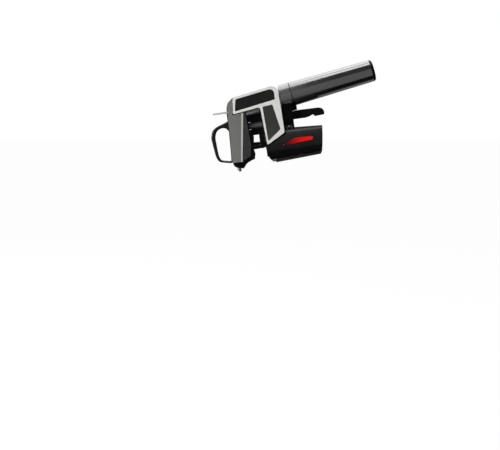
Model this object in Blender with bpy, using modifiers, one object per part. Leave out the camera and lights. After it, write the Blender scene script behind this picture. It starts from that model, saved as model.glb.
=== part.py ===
"""A wine preservation dispenser, with its body pushed down against its neck clamp.

+X runs along the needle to its point, +Z is up across it, and the front side faces -Y. The origin is
where the needle crosses the seat of the clamp. Side outlines are shares of side_length along the
needle and of side_height across it.
"""

import math

import bmesh
import bpy
from mathutils import Matrix, Vector

# Driving sizes, in metres
side_length = 0.100
side_height = 0.100
gap = 0.0003
overrun = 0.004
neck_radius = 0.0145
weld_distance = 0.000001
spin_weld_distance = 0.00001

# Housing, covers and trim, as half widths from the middle plane
core_half = 0.0082
block_half = 0.0147
web_half = 0.0020
lip_half = 0.0142
cover_half = 0.0146
bezel_thickness = 0.0016
inlay_recess = 0.0005
trim_inset = 0.0008
body_edge = 0.0006
trim_edge = 0.0004
nose_half = 0.0088
leg_corner_radius = 0.0035
bezel_corner_radius = 0.0079
inlay_corner_radius = 0.0050
bar_corner_radius = 0.0028
panel_corner_radius = 0.0025
fork_radius = 0.0030
small_corner = 0.0010
face_tilt = math.radians(32)
nose_corner_radius = 0.0015

# Guide rails, each beside the trigger
rail_inner_half = 0.0108
rail_width = 0.0024
rail_thickness = 0.0018
rail_wall = 0.0012
rail_pin_radius = 0.0005
rail_pin_reach = 0.0060
pin_gap = 0.00015

# Needle, hub and spout
needle_radius = 0.00075
needle_bore = 0.00040
needle_point = 0.0040
hub_radius = 0.0043
spout_radius = 0.0026
spout_bore = 0.0019
channel_radius = 0.0012
seal_pocket = 0.0016
pocket_radius = 0.0022

# Gas line and valve
gas_tube_radius = 0.0042
gas_tube_bore = 0.0026
gas_collar_radius = 0.0048
gas_collar_length = 0.0016
valve_radius = 0.0040
valve_bore = 0.0027
stem_radius = 0.0012
stem_head_radius = 0.0023
stem_head_length = 0.0016
valve_wire = 0.0003
valve_turns = 6
valve_seal_room = 0.0030
ring_wire = 0.00045

# Trigger, its bracket and pin
trigger_half = 0.0070
trigger_side_gap = 0.0004
cheek_thickness = 0.0028
bracket_plate = 0.0012
trigger_pin_radius = 0.0011
trigger_groove = 0.0006
trigger_groove_width = 0.0009
trigger_grooves = 5
trigger_tip_radius = 0.0040
trigger_heel_radius = 0.0015

# Capsule line: distances run along its tilted axis from the leg's right face
line_tilt = math.radians(8.4)
collar_radius = 0.0146
cup_end_radius = 0.0131
cup_start = 0.01445
cup_stop = 0.1150
end_cap_length = 0.0031
collar_neck_radius = 0.0120
collar_neck_stop = 0.0240
spigot_radius = 0.0085
spigot_depth = 0.0160
cup_wall = 0.0015
piston_radius = 0.0057
piston_bore_stop = 0.0040
piston_length = 0.0036
piston_wire = 0.0009
piston_turns = 4
capsule_radius = 0.0093
capsule_neck_radius = 0.0044
capsule_nose = 0.0110
capsule_length = 0.0660
nose_bore_start = 0.0060
pierce_radius = 0.0016
pierce_foot = 0.0023
shoulder_bore_depth = 0.0070
cup_bore_gap = 0.0005
plug_depth = 0.0070

# Clamp
arm_half_width = 0.0184
arm_left_radius = 0.0220
arm_right_radius = 0.0178
arm_wall = 0.0024
arm_drop = 0.0010
arm_top_drop = 0.0016
arm_split = 0.0009
accent_recess = 0.0008
arm_corner = 0.0030
arm_top_half = 0.0097
knuckle_gap = 0.0004
knuckle_foot = 0.0041
clamp_neck_gap = 0.0004
saddle_gap = 0.0004
rib_half = 0.0076
pad_half_height = 0.0090
saddle_wall = 0.0025
saddle_half = 0.0090
hinge_half = 0.0106
hinge_rise = 0.0029
hinge_height = neck_radius + hinge_rise
knuckle_radius = 0.0026
hinge_pin_radius = 0.0010
clamp_wire = 0.00025
clamp_turns = 2
plate_rise = 0.0071
plate_top = hinge_height + plate_rise
plate_thickness = 0.0040
seat_bore = 0.0065
guide_plate = 0.0052
guide_radius = 0.0050
guide_bore = 0.0011
guide_mouth = 0.0030

# Screws through the two housing halves
screw_radius = 0.0012
screw_head_radius = 0.0022
screw_head_height = 0.0014
screw_reach = 0.0060

# Finger loop
loop_half = 0.0048
loop_edge = 0.0009

# Side outlines, as shares of side_length and side_height
bezel_shares = ((-0.400, 0.610), (0.146, 0.692), (0.159, 0.400), (0.163, 0.111), (-0.062, -0.011),
                (-0.089, 0.453), (-0.422, 0.410))
upper_opening_shares = ((-0.370, 0.583), (0.102, 0.655), (0.100, 0.519), (-0.395, 0.440))
lower_opening_shares = ((-0.060, 0.452), (0.062, 0.463), (0.121, 0.158), (-0.044, 0.033))
core_shares = ((-0.402, 0.608), (-0.429, 0.590), (-0.469, 0.552), (-0.487, 0.510), (-0.500, 0.421),
               (-0.498, 0.328), (-0.501, 0.149), (-0.511, -0.120), (-0.508, -0.170), (-0.280, -0.170),
               (-0.234, -0.158), (-0.218, -0.095), (-0.230, -0.043), (-0.216, 0.057), (-0.208, 0.116),
               (-0.252, 0.200), (-0.256, 0.385), (-0.090, 0.385), (-0.090, 0.190), (-0.145, 0.150),
               (-0.145, 0.015), (-0.135, -0.036), (-0.083, -0.036), (-0.060, 0.000), (0.150, 0.115),
               (0.150, 0.600), (0.055, 0.665))
web_shares = ((-0.260, 0.128), (-0.260, 0.390), (-0.085, 0.390), (-0.085, 0.128))
lip_shares = ((-0.262, 0.445), (-0.262, 0.372), (-0.080, 0.412), (-0.080, 0.468))
cover_shares = ((-0.410, 0.602), (-0.432, 0.583), (-0.466, 0.545), (-0.480, 0.508), (-0.487, 0.421),
                (-0.4895, 0.328), (-0.494, 0.149), (-0.5055, -0.136), (-0.503, -0.168), (-0.386, -0.168),
                (-0.254, -0.102), (-0.272, 0.361), (-0.276, 0.420), (-0.432, 0.400))
shoulder_end = 4
face_line_shares = ((-0.303, 0.366), (-0.386, -0.160))
nose_shares = ((-0.505, -0.174), (-0.489, -0.216), (-0.459, -0.233), (-0.382, -0.254), (-0.357, -0.222),
               (-0.332, -0.196), (-0.300, -0.179), (-0.280, -0.174))
loop_outer_shares = ((-0.5015, 0.334), (-0.543, 0.327), (-0.601, 0.307), (-0.658, 0.279), (-0.700, 0.240),
                     (-0.724, 0.181), (-0.7235, 0.099), (-0.712, -0.003), (-0.699, -0.076),
                     (-0.674, -0.126), (-0.640, -0.149), (-0.590, -0.157), (-0.520, -0.163),
                     (-0.512, -0.165), (-0.5145, -0.120), (-0.506, 0.111), (-0.5035, 0.250))
loop_outer_end = 12
loop_inner_shares = ((-0.517, 0.232), (-0.541, 0.274), (-0.576, 0.285), (-0.620, 0.267), (-0.656, 0.232),
                     (-0.675, 0.174), (-0.677, 0.083), (-0.666, -0.036), (-0.651, -0.093),
                     (-0.624, -0.123), (-0.562, -0.139), (-0.530, -0.140), (-0.526, -0.125),
                     (-0.518, 0.111))
loop_inner_end = 11
trigger_shares = ((0.179, 0.380), (0.204, 0.380), (0.222, 0.345), (0.338, 0.357), (0.610, 0.353),
                  (0.650, 0.340), (0.672, 0.305), (0.672, 0.262), (0.560, 0.255), (0.546, 0.277),
                  (0.525, 0.276), (0.490, 0.262), (0.445, 0.252), (0.298, 0.252), (0.205, 0.256),
                  (0.179, 0.285))
bracket_shares = ((0.157, 0.250), (0.157, 0.420), (0.350, 0.420), (0.350, 0.362), (0.272, 0.352),
                  (0.258, 0.262), (0.245, 0.250))
bridge_shares = ((0.262, 0.385), (0.262, 0.420), (0.350, 0.420), (0.350, 0.385))
arm_shares = ((-0.082, -0.047), (-0.058, -0.170), (-0.020, -0.217), (0.018, -0.240), (0.580, -0.200),
              (0.624, 0.137), (0.290, 0.158), (0.176, 0.158), (0.176, 0.092), (-0.040, -0.014))
arm_top_points = (6, 7)
accent_shares = ((0.119, -0.036), (0.168, -0.006), (0.225, 0.021), (0.276, 0.039), (0.470, 0.030),
                 (0.490, 0.018), (0.494, 0.003), (0.480, -0.020), (0.194, -0.043))

# Places along the needle and across it, as shares
column_back_share = -0.520
leg_face_share = 0.156
clamp_gap_share = -0.083
carriage_left_share = 0.169
carriage_right_share = 0.290
cover_slot_share = -0.420
rail_left_share = -0.672
rail_height_share = 0.443
rail_pin_shares = (0.200, 0.260)
hub_left_share = -0.270
hub_right_share = -0.105
needle_left_share = -0.240
needle_right_share = 0.620
spout_share = -0.440
spout_top_share = -0.020
spout_bottom_share = -0.285
gas_tube_left_share = -0.290
gas_tube_right_share = -0.045
gas_tube_height_share = 0.244
gas_collar_share = -0.250
valve_left_share = -0.055
valve_height_share = 0.364
stem_end_share = 0.176
stem_head_share = 0.050
trigger_pin_shares = (0.219, 0.289)
bracket_plate_top_share = 0.305
groove_start_shares = (0.330, 0.272)
groove_end_shares = (0.640, 0.338)
line_start_shares = (0.162, 0.534)
saddle_left_share = -0.078
pad_left_share = 0.180
pad_right_share = 0.460
lug_inner_shares = (0.187, 0.268)
spring_shares = (0.212, 0.243)
screw_shares = ((-0.400, 0.300), (-0.320, 0.120), (-0.330, -0.120), (0.040, 0.262))

line_axis = Vector((math.cos(line_tilt), 0, math.sin(line_tilt)))
along_x = Vector((1, 0, 0))
along_y = Vector((0, 1, 0))
along_z = Vector((0, 0, 1))
sides = (("front", -1), ("rear", 1))


def place(x_share, z_share, y=0.0):
    return Vector((x_share * side_length, y, z_share * side_height))


def on_line(distance):
    return place(*line_start_shares) + line_axis * distance


def outline(shares):
    return [(x * side_length, z * side_height) for x, z in shares]


def arm_outline():
    """The arms' side outline, rounded at the lower left, whose top edge keeps its place under the hinge."""
    points = outline(arm_shares)
    for i in arm_top_points:
        points[i] = (points[i][0], hinge_height - arm_top_drop)
    return rounded(points, {1: arm_corner, 2: arm_corner})


def turn_of(points):
    """Positive for an outline that runs anticlockwise."""
    pairs = zip(points, points[1:] + points[:1])
    return sum(a[0] * b[1] - b[0] * a[1] for a, b in pairs)


def inset(points, distance):
    """The outline moved inwards by this distance, corner by corner."""
    sign = 1 if turn_of(points) > 0 else -1
    moved = []
    for i, corner in enumerate(points):
        before = Vector(corner) - Vector(points[i - 1])
        after = Vector(points[(i + 1) % len(points)]) - Vector(corner)
        first = Vector((-before.y, before.x)).normalized() * sign
        second = Vector((-after.y, after.x)).normalized() * sign
        middle = (first + second).normalized()
        moved.append(tuple(Vector(corner) + middle * (distance / middle.dot(first))))
    return moved


def rounded(points, radii, steps=5):
    """The outline with each corner turned into an arc of its radius."""
    done = []
    for i, corner in enumerate(points):
        radius = radii.get(i, 0) if isinstance(radii, dict) else radii
        if radius == 0:
            done.append(corner)
            continue
        here = Vector(corner)
        back = (Vector(points[i - 1]) - here).normalized()
        on = (Vector(points[(i + 1) % len(points)]) - here).normalized()
        half = back.angle(on) / 2
        reach = radius / math.tan(half)
        centre = here + (back + on).normalized() * (radius / math.sin(half))
        start = here + back * reach - centre
        sweep = (math.pi - 2 * half) * (1 if start.cross(-back) > 0 else -1)
        for step in range(steps + 1):
            turned = Matrix.Rotation(sweep * step / steps, 2) @ start
            done.append(tuple(centre + turned))
    return done


def curved(points, last, steps=2):
    """The outline with a smooth curve through its points up to the last of them."""
    done = []
    for i, point in enumerate(points):
        done.append(point)
        if i >= last:
            continue
        before, here, after, beyond = (Vector(points[min(max(j, 0), last)]) for j in range(i - 1, i + 3))
        for step in range(1, steps):
            share = step / steps
            leave = (after - before) / 2
            arrive = (beyond - here) / 2
            straight = here.lerp(after, share)
            bend = share * (1 - share)
            done.append(tuple(straight + (leave - after + here) * bend * (1 - share)
                              - (arrive - after + here) * bend * share))
    return done


def material(name, colour, roughness, metallic):
    made = bpy.data.materials.new(name)
    made.use_nodes = True
    shader = made.node_tree.nodes["Principled BSDF"]
    shader.inputs["Base Color"].default_value = (*colour, 1)
    shader.inputs["Roughness"].default_value = roughness
    shader.inputs["Metallic"].default_value = metallic
    made.diffuse_color = (*colour, 1)
    return made


def smooth(mesh):
    mesh.shade_smooth()
    mesh.set_sharp_from_angle(angle=math.radians(35))


def add(name, mesh, finish=None):
    """An object of the dispenser, or a cutter where it has no finish."""
    made = bpy.data.objects.new(name, mesh)
    if finish:
        mesh.materials.append(finish)
        parts.objects.link(made)
    else:
        as_cutter(made)
    return made


def as_cutter(made):
    for collection in list(made.users_collection):
        collection.objects.unlink(made)
    cutters.objects.link(made)
    made.hide_render = True
    made.display_type = "WIRE"


def from_bmesh(name, bm, finish=None):
    mesh = bpy.data.meshes.new(name)
    bmesh.ops.recalc_face_normals(bm, faces=bm.faces)
    bm.to_mesh(mesh)
    bm.free()
    smooth(mesh)
    return add(name, mesh, finish)


def prism(name, loops, near, far, finish=None):
    """A flat side outline, with its holes, drawn out along Y from near to far."""
    curve = bpy.data.curves.new(name + "_outline", "CURVE")
    curve.dimensions = "2D"
    curve.fill_mode = "BOTH"
    curve.extrude = abs(far - near) / 2
    for loop in loops:
        spline = curve.splines.new("POLY")
        spline.points.add(len(loop) - 1)
        for point, (x, z) in zip(spline.points, loop):
            point.co = (x, z, 0, 1)
        spline.use_cyclic_u = True
    drawn = bpy.data.objects.new(name + "_outline", curve)
    drawn.rotation_euler = (math.radians(90), 0, 0)
    drawn.location = (0, (near + far) / 2, 0)
    return solid_of_curve(name, drawn, finish)


def solid_of_curve(name, drawn, finish=None):
    parts.objects.link(drawn)
    graph = bpy.context.evaluated_depsgraph_get()
    mesh = bpy.data.meshes.new_from_object(drawn.evaluated_get(graph))
    bm = bmesh.new()
    bm.from_mesh(mesh)
    bmesh.ops.remove_doubles(bm, verts=bm.verts, dist=weld_distance)
    bmesh.ops.recalc_face_normals(bm, faces=bm.faces)
    bm.to_mesh(mesh)
    bm.free()
    mesh.materials.clear()
    smooth(mesh)
    matrix = drawn.matrix_world.copy()
    bpy.data.objects.remove(drawn)
    made = add(name, mesh, finish)
    made.matrix_world = matrix
    return made


def box(name, low, high, finish=None):
    bm = bmesh.new()
    bmesh.ops.create_cube(bm, size=1)
    low, high = Vector(low), Vector(high)
    bmesh.ops.scale(bm, vec=high - low, verts=bm.verts)
    made = from_bmesh(name, bm, finish)
    made.location = (low + high) / 2
    return made


def rod(name, start, axis, length, radius, finish=None, end_radius=None, segments=24):
    bm = bmesh.new()
    far_radius = radius if end_radius is None else end_radius
    bmesh.ops.create_cone(bm, cap_ends=True, segments=segments, radius1=radius, radius2=far_radius,
                          depth=length)
    made = from_bmesh(name, bm, finish)
    made.location = Vector(start) + axis * (length / 2)
    made.rotation_euler = axis.to_track_quat("Z", "Y").to_euler()
    return made


def turned(name, profile, start, axis, finish=None, steps=28):
    """A profile of (radius, distance) points, from its far end down its outer side, spun on an axis."""
    mesh = bpy.data.meshes.new(name)
    closed = min(radius for radius, _ in profile) > 0
    count = len(profile)
    edges = [(i, (i + 1) % count) for i in range(count if closed else count - 1)]
    mesh.from_pydata([(radius, 0, distance) for radius, distance in profile], edges, [])
    made = add(name, mesh, finish)
    made.location = start
    made.rotation_euler = axis.to_track_quat("Z", "Y").to_euler()
    spin = made.modifiers.new("spin", "SCREW")
    spin.axis = "Z"
    spin.steps = steps
    spin.render_steps = steps
    spin.use_merge_vertices = True
    spin.merge_threshold = spin_weld_distance
    spin.use_smooth_shade = True
    return made


def ring(name, start, axis, radius, wire, finish, steps=20):
    """A round seal: a circle of wire round an axis."""
    sides_of_wire = 8
    angles = [-2 * math.pi * i / sides_of_wire for i in range(sides_of_wire)]
    profile = [(radius + wire * math.cos(a), wire * math.sin(a)) for a in angles]
    return turned(name, profile, start, axis, finish, steps)


def coil(name, start, axis, length, radius, wire, turns, finish):
    """A coil spring as one tube, which prints the least gap between its turns."""
    per_turn = 10
    count = turns * per_turn + 1
    points = []
    for i in range(count):
        angle = 2 * math.pi * i / per_turn
        rise = wire + (length - 2 * wire) * i / (count - 1)
        points.append(Vector((radius * math.cos(angle), radius * math.sin(angle), rise)))
    apart = [(points[i] - points[j]).length - 2 * wire
             for i in range(count) for j in range(i + per_turn // 2, count)]
    print(f"{name}: least gap to itself {min(apart) * 1000:.2f} mm")
    curve = bpy.data.curves.new(name, "CURVE")
    curve.dimensions = "3D"
    curve.bevel_depth = wire
    curve.bevel_resolution = 1
    curve.use_fill_caps = True
    spline = curve.splines.new("POLY")
    spline.points.add(count - 1)
    for point, co in zip(spline.points, points):
        point.co = (*co, 1)
    drawn = bpy.data.objects.new(name + "_wire", curve)
    drawn.location = start
    drawn.rotation_euler = axis.to_track_quat("Z", "Y").to_euler()
    return solid_of_curve(name, drawn, finish)


def boolean(made, others, operation):
    for other in others:
        step = made.modifiers.new(operation.lower(), "BOOLEAN")
        step.operation = operation
        step.object = other
        step.solver = "EXACT"
        if not other.hide_render:
            as_cutter(other)
    return made


def cut(made, *others):
    return boolean(made, others, "DIFFERENCE")


def join(made, *others):
    return boolean(made, others, "UNION")


def keep(made, *others):
    return boolean(made, others, "INTERSECT")


def soften(made, width, segments=1):
    edge = made.modifiers.new("edge", "BEVEL")
    edge.width = width
    edge.segments = segments
    edge.limit_method = "ANGLE"
    edge.angle_limit = math.radians(40)
    return made


def empty(name, location):
    made = bpy.data.objects.new(name, None)
    made.location = location
    parts.objects.link(made)
    return made


def hang(child, parent):
    """Parents a piece to its joint's empty and leaves it where it stands."""
    bpy.context.view_layer.update()
    child.parent = parent
    child.matrix_parent_inverse = parent.matrix_world.inverted()


def cylinder_clear(name, extra):
    """The tapering cup and collar as a cutter, with a clearance round them."""
    return turned(name, ((0, cup_stop + overrun), (cup_end_radius + extra, cup_stop + overrun),
                         (collar_radius + extra, -overrun), (0, -overrun)), on_line(0), line_axis)


def big_box(name, centre, axis):
    """A half space as a cutter: all that lies beyond this point along this axis."""
    size = side_length + side_height
    made = box(name, (-size, -size, 0), (size, size, 2 * size))
    made.rotation_euler = axis.to_track_quat("Z", "Y").to_euler()
    made.location = centre + axis * size
    return made


def rail_rooms(name, sign, left, right):
    """The slot that a rail slides in."""
    low_y, high_y = sorted((sign * (rail_inner_half - gap), sign * (rail_inner_half + rail_width + gap)))
    middle = rail_height_share * side_height
    reach = rail_thickness / 2 + gap
    return box(name, (left, low_y, middle - reach), (right, high_y, middle + reach))


def make_housing(black, screw_steel):
    """Two black halves that meet on the middle plane, and the screws that hold them."""
    leg_face = leg_face_share * side_length
    clamp_left = clamp_gap_share * side_length
    back = column_back_share * side_length - overrun
    block_corners = {1: bezel_corner_radius - trim_inset, 3: leg_corner_radius - trim_inset}
    block_outline = rounded(inset(outline(bezel_shares), trim_inset), block_corners)
    for name, sign in sides:
        inner = sign * gap / 2
        half = prism("housing_" + name, [curved(outline(core_shares), shoulder_end)], inner,
                     sign * core_half, black)
        block = prism("block_" + name, [block_outline], sign * (core_half - overrun), sign * block_half)
        web = prism("web_" + name, [outline(web_shares)], inner, sign * web_half)
        lip = prism("lip_" + name, [outline(lip_shares)], sign * (core_half - overrun), sign * lip_half)
        join(half, block, web, lip)
        cut(half, rail_rooms("rail_room_" + name, sign, back, leg_face + overrun))
    hub_length = (hub_right_share - hub_left_share) * side_length
    tube_length = (gas_tube_right_share - gas_tube_left_share) * side_length
    spout_length = (spout_top_share - spout_bottom_share) * side_height
    bores = (
        rod("clamp_room", (clamp_left, 0, 0), along_x, leg_face - clamp_left + overrun,
            neck_radius + saddle_wall + 2 * gap + saddle_gap, segments=48),
        rod("hub_bore", place(hub_left_share, 0) - along_x * gap, along_x, hub_length + 2 * gap,
            hub_radius + gap),
        rod("needle_way", place(hub_left_share, 0), along_x, clamp_left - hub_left_share * side_length
            + overrun, needle_radius + gap),
        rod("wine_channel", place(spout_share, 0), along_x,
            (hub_left_share - spout_share) * side_length + overrun, channel_radius),
        rod("spout_bore", place(spout_share, spout_bottom_share), along_z, spout_length + gap,
            spout_radius + gap),
        rod("channel_drop", place(spout_share, spout_top_share) - along_z * gap, along_z,
            -spout_top_share * side_height + channel_radius, channel_radius),
        rod("gas_bore", place(gas_tube_left_share, gas_tube_height_share) - along_x * gap, along_x,
            tube_length + 2 * gap, gas_tube_radius + gap),
        rod("gas_collar_room", place(gas_collar_share, gas_tube_height_share) - along_x * gap, along_x,
            gas_collar_length + 2 * gap, gas_collar_radius + gap),
        rod("valve_room", place(valve_left_share, valve_height_share) - along_x * gap, along_x,
            (leg_face_share - valve_left_share) * side_length + overrun, valve_radius + gap),
        rod("spigot_room", on_line(-spigot_depth - gap), line_axis, spigot_depth + overrun,
            spigot_radius + gap, segments=32),
    )
    front = bpy.data.objects["housing_front"]
    rear = bpy.data.objects["housing_rear"]
    cut(front, *bores)
    cut(rear, *bores)
    head_foot = core_half - screw_head_height - gap
    head_top = head_foot + screw_head_height
    for i, shares in enumerate(screw_shares, 1):
        spot = place(*shares)
        cut(rear, rod(f"head_room_{i}", spot + along_y * (head_foot - gap), along_y,
                      block_half + overrun, screw_head_radius + gap, segments=16))
        shank_room = rod(f"shank_room_{i}", spot - along_y * (screw_reach + gap), along_y,
                         screw_reach + core_half, screw_radius + gap, segments=16)
        cut(front, shank_room)
        cut(rear, shank_room)
        profile = ((0, head_top), (screw_head_radius, head_top), (screw_head_radius, head_foot),
                   (screw_radius, head_foot), (screw_radius, -screw_reach), (0, -screw_reach))
        screw = turned(f"housing_screw_{i}", profile, spot, along_y, screw_steel, 16)
        cut(screw, rod(f"screw_recess_{i}", spot + along_y * (head_foot + screw_head_height / 2),
                       along_y, screw_head_height, screw_radius, segments=6))


def make_covers(metal):
    """The grey metal covers of the column: a side face and a slanted face right of it."""
    top, bottom = (place(*share) for share in face_line_shares)
    line = (top - bottom).normalized()
    across = Vector((line.z, 0, -line.x))
    for name, sign in sides:
        cover = prism("column_cover_" + name, [curved(outline(cover_shares), shoulder_end)],
                      sign * (core_half + gap), sign * cover_half, metal)
        outward = along_y * sign
        facing = across * math.sin(face_tilt) + outward * math.cos(face_tilt)
        slant = big_box("slant_" + name, bottom + outward * cover_half, facing)
        cut(cover, slant)
        back = column_back_share * side_length - overrun
        cut(cover, rail_rooms("cover_slot_" + name, sign, back, cover_slot_share * side_length))
        soften(cover, body_edge)


def make_trim(silver, inlay_black, panel_grey):
    """On each side the bright plate, the inlay in its bar and the bare panel in its leg."""
    plate_corners = {0: small_corner, 1: bezel_corner_radius, 3: leg_corner_radius, 4: small_corner,
                     5: fork_radius, 6: small_corner}
    upper_corners = {0: bar_corner_radius, 1: inlay_corner_radius, 2: small_corner, 3: small_corner}
    lower_corners = {0: small_corner, 1: small_corner, 2: panel_corner_radius, 3: small_corner}
    upper = outline(upper_opening_shares)
    lower = outline(lower_opening_shares)
    for name, sign in sides:
        near = sign * (block_half + gap)
        far = sign * (block_half + gap + bezel_thickness)
        low = far - sign * inlay_recess
        plate = prism("bezel_" + name, [rounded(outline(bezel_shares), plate_corners),
                                        rounded(upper, upper_corners), rounded(lower, lower_corners)],
                      near, far, silver)
        soften(plate, trim_edge)
        prism("grip_inlay_" + name, [rounded(inset(upper, gap), upper_corners)], near, low, inlay_black)
        prism("side_panel_" + name, [rounded(inset(lower, gap), lower_corners)], near, low, panel_grey)


def make_nose(black, steel):
    """The black foot under the column and the spout that comes out of it."""
    nose = prism("nose_cap", [rounded(outline(nose_shares), {i: nose_corner_radius for i in range(1, 4)}, 3)],
                 -nose_half, nose_half, black)
    length = (spout_top_share - spout_bottom_share) * side_height
    foot = place(spout_share, spout_bottom_share)
    cut(nose, rod("nose_bore", foot, along_z, length, spout_radius + gap))
    turned("spout_tube", ((spout_radius, length), (spout_radius, 0), (spout_bore, 0),
                          (spout_bore, length)), foot, along_z, steel, 32)


def make_loop(black):
    """The rigid finger ring, with a strap that lies along the column's back."""
    outer = curved(outline(loop_outer_shares), loop_outer_end)
    inner = curved(outline(loop_inner_shares), loop_inner_end)
    loop = prism("finger_loop", [outer, inner], -loop_half, loop_half, black)
    soften(loop, loop_edge, 2)


def make_needle_set(black, steel, rubber):
    hub_length = (hub_right_share - hub_left_share) * side_length
    bore = needle_radius + gap
    hub_foot = place(hub_left_share, 0)
    pocket = hub_length - seal_pocket
    turned("needle_hub", ((hub_radius, hub_length), (hub_radius, 0), (bore, 0), (bore, pocket),
                          (pocket_radius, pocket), (pocket_radius, hub_length)), hub_foot, along_x, black)
    ring("needle_seal", hub_foot + along_x * (pocket + seal_pocket / 2), along_x,
         needle_radius + gap + ring_wire, ring_wire, rubber)
    length = (needle_right_share - needle_left_share) * side_length
    shoulder = length - needle_point
    turned("needle", ((0, length), (needle_radius, shoulder), (needle_radius, 0), (needle_bore, 0),
                      (needle_bore, shoulder - needle_point), (0, shoulder - needle_point)),
           place(needle_left_share, 0), along_x, steel, 20)


def make_gas_line(dark_metal, brass, steel, spring_steel, rubber):
    """The gas line to the column, and the valve that the trigger pushes open."""
    length = (gas_tube_right_share - gas_tube_left_share) * side_length
    collar = (gas_collar_share - gas_tube_left_share) * side_length
    collar_end = collar + gas_collar_length
    turned("gas_tube", ((gas_tube_radius, length), (gas_tube_radius, collar_end),
                        (gas_collar_radius, collar_end), (gas_collar_radius, collar),
                        (gas_tube_radius, collar), (gas_tube_radius, 0), (gas_tube_bore, 0),
                        (gas_tube_bore, length)), place(gas_tube_left_share, gas_tube_height_share),
           along_x, dark_metal)
    foot = place(valve_left_share, valve_height_share)
    stop = (leg_face_share - valve_left_share) * side_length
    head = (stem_head_share - valve_left_share) * side_length
    shoulder = head + stem_head_length + valve_seal_room
    wall = valve_radius - valve_bore
    stem_way = stem_radius + gap
    turned("valve_body", ((valve_radius, stop), (valve_radius, 0), (needle_bore, 0),
                          (needle_bore, wall), (valve_bore, wall), (valve_bore, shoulder),
                          (stem_way, shoulder), (stem_way, stop)), foot, along_x, brass)
    stem_stop = (stem_end_share - valve_left_share) * side_length
    turned("valve_stem", ((0, stem_stop), (stem_radius, stem_stop), (stem_radius, head + stem_head_length),
                          (stem_head_radius, head + stem_head_length), (stem_head_radius, head),
                          (0, head)), foot, along_x, steel)
    ring("valve_seal", foot + along_x * (shoulder - ring_wire - gap), along_x,
         stem_way + ring_wire, ring_wire, rubber)
    coil("valve_spring", foot + along_x * (wall + gap), along_x, head - wall - 2 * gap,
         valve_bore - gap - valve_wire, valve_wire, valve_turns, spring_steel)


def make_trigger(black, steel):
    """The grooved lever, its bracket under the collar and the pin that it turns on."""
    pin = place(*trigger_pin_shares)
    corners = {4: trigger_tip_radius, 5: trigger_tip_radius, 6: trigger_tip_radius, 7: trigger_heel_radius}
    lever = prism("trigger", [rounded(outline(trigger_shares), corners, 3)], -trigger_half, trigger_half, black)
    cheek_inner = trigger_half + trigger_side_gap
    cheek_outer = cheek_inner + cheek_thickness
    way = rod("pin_way", pin - along_y * (cheek_outer + overrun), along_y, 2 * (cheek_outer + overrun),
              trigger_pin_radius + gap, segments=24)
    cut(lever, way)
    left, low = outline((groove_start_shares,))[0]
    right, high = outline((groove_end_shares,))[0]
    for i in range(trigger_grooves):
        middle = low + (high - low) * i / (trigger_grooves - 1)
        for name, sign in sides:
            low_y, high_y = sorted((sign * (trigger_half - trigger_groove), sign * (trigger_half + overrun)))
            cut(lever, box(f"groove_{name}_{i}", (left, low_y, middle - trigger_groove_width / 2),
                           (right, high_y, middle + trigger_groove_width / 2)))
    bracket = prism("trigger_bracket", [outline(bracket_shares)], -cheek_outer, -cheek_inner, black)
    rear_cheek = prism("rear_cheek", [outline(bracket_shares)], cheek_inner, cheek_outer)
    bridge = prism("bridge", [outline(bridge_shares)], -cheek_outer + gap, cheek_outer - gap)
    left, low = outline(bracket_shares)[0]
    top = bracket_plate_top_share * side_height
    plate = box("bracket_back", (left, gap - cheek_outer, low), (left + bracket_plate, cheek_outer - gap, top))
    join(bracket, rear_cheek, bridge, plate)
    cut(bracket, way, cylinder_clear("bracket_room", gap))
    rod("trigger_pin", pin - along_y * cheek_outer, along_y, 2 * cheek_outer, trigger_pin_radius, steel,
        segments=24)


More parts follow.
